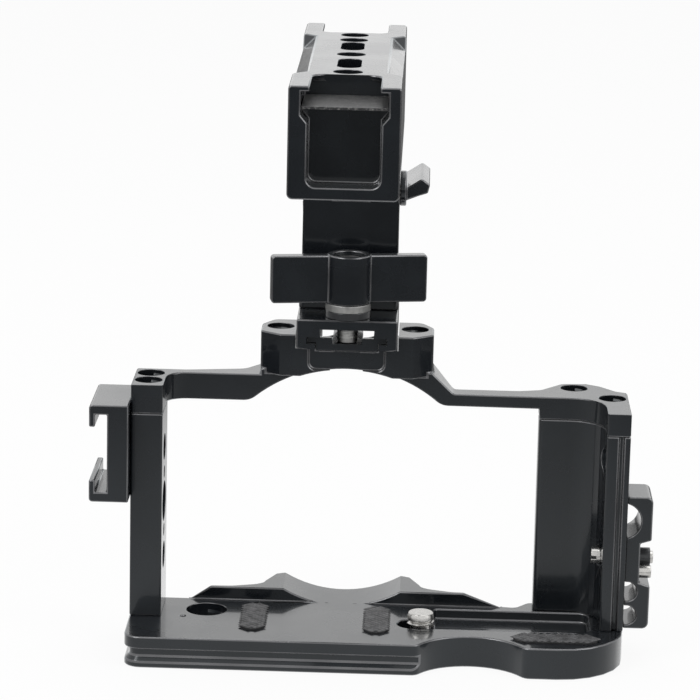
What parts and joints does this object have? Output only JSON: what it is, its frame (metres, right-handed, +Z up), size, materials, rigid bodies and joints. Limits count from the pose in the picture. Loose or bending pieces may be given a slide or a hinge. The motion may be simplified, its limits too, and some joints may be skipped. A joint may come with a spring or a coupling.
{
  "type": "camera cage with top handle",
  "caption": "Aluminium camera cage: bottom plate, side plates, arched top frame, side shoe, cable clamp and a top handle with shoes on a sliding, tilting post.",
  "frame": {"origin": "tripod socket on the underside of the bottom plate", "axes": "+X to the right seen from behind the camera, +Y towards the lens, +Z up"},
  "size_m": [0.1331, 0.1052, 0.1443],
  "materials": {
    "black_anodised": "satin black anodised",
    "rubber": "woven pattern",
    "bright_steel": "bright",
    "black_steel": "black oxide",
    "shoe_steel": "worn"
  },
  "bodies": {
    "cage": {"bottom_plate": "black_anodised", "left_side_plate": "black_anodised", "right_side_plate": "black_anodised", "top_frame": "black_anodised", "side_shoe": "black_anodised", "shoe_screws_upper": "black_steel", "shoe_screws_lower": "black_steel", "left_base_screws": "black_steel", "right_base_screws": "black_steel", "right_top_screw": "black_steel", "grip_pad_left": "rubber", "grip_pad_middle": "rubber", "grip_pad_right": "rubber", "clamp_guide_pins": "bright_steel"},
    "screw_carriage": {"slot_washer": "bright_steel"},
    "camera_screw": {"camera_screw": "bright_steel"},
    "screw_ring": {"screw_ring": "bright_steel"},
    "jaw": {"clamp_jaw": "black_anodised", "clamp_nut": "black_steel"},
    "jaw_screw": {"clamp_screw": "bright_steel"},
    "handle_base": {"handle_foot": "black_anodised", "foot_bolts": "black_steel", "handle_post": "black_anodised", "tilt_pin": "bright_steel", "knob_washer": "black_steel"},
    "knob": {"wing_knob": "black_anodised", "jack_screw": "bright_steel", "lock_ring": "bright_steel"},
    "lever": {"clamp_lever": "black_anodised"},
    "handle": {"handle_bar": "black_anodised", "tilt_lug": "black_anodised", "lug_screws": "black_steel", "rear_shoe_liner": "shoe_steel", "front_shoe_liner": "shoe_steel"}
  },
  "joints": [
    {"name": "screw_travel", "type": "slide", "parent": "cage", "child": "screw_carriage", "axis": [1, 0, 0], "range_m": [-0.002, 0.0364]},
    {"name": "screw_turn", "type": "hinge", "parent": "screw_carriage", "child": "camera_screw", "pos_m": [0.0192, 0.0005, 0], "axis": [0, 0, 1], "continuous": true},
    {"name": "ring_fold", "type": "hinge", "parent": "camera_screw", "child": "screw_ring", "pos_m": [0.0192, 0.0005, 0.0012], "axis": [-1, 0, 0], "range_deg": [0, 100]},
    {"name": "jaw_screw_turn", "type": "hinge", "parent": "cage", "child": "jaw_screw", "pos_m": [0.0615, 0.0075, 0.0236], "axis": [1, 0, 0], "range_deg": [0, 1080]},
    {"name": "jaw_travel", "type": "slide", "parent": "cage", "child": "jaw", "axis": [1, 0, 0], "range_m": [0, 0.0015]},
    {"name": "handle_slide", "type": "slide", "parent": "cage", "child": "handle_base", "axis": [0, 1, 0], "range_m": [-0.004, 0.006]},
    {"name": "knob_turn", "type": "hinge", "parent": "handle_base", "child": "knob", "pos_m": [0, 0.0145, 0.082], "axis": [0, 0, 1], "range_deg": [-30, 14]},
    {"name": "lever_turn", "type": "hinge", "parent": "handle_base", "child": "lever", "pos_m": [0.012, 0.029, 0.107], "axis": [1, 0, 0], "range_deg": [-70, 15]},
    {"name": "handle_tilt", "type": "hinge", "parent": "handle_base", "child": "handle", "pos_m": [0, 0.029, 0.107], "axis": [1, 0, 0], "range_deg": [-15, 15]}
  ],
  "couplings": [
    {"joint": "jaw_screw_turn", "follows": "jaw_travel", "rad_per_m": 12566}
  ]
}
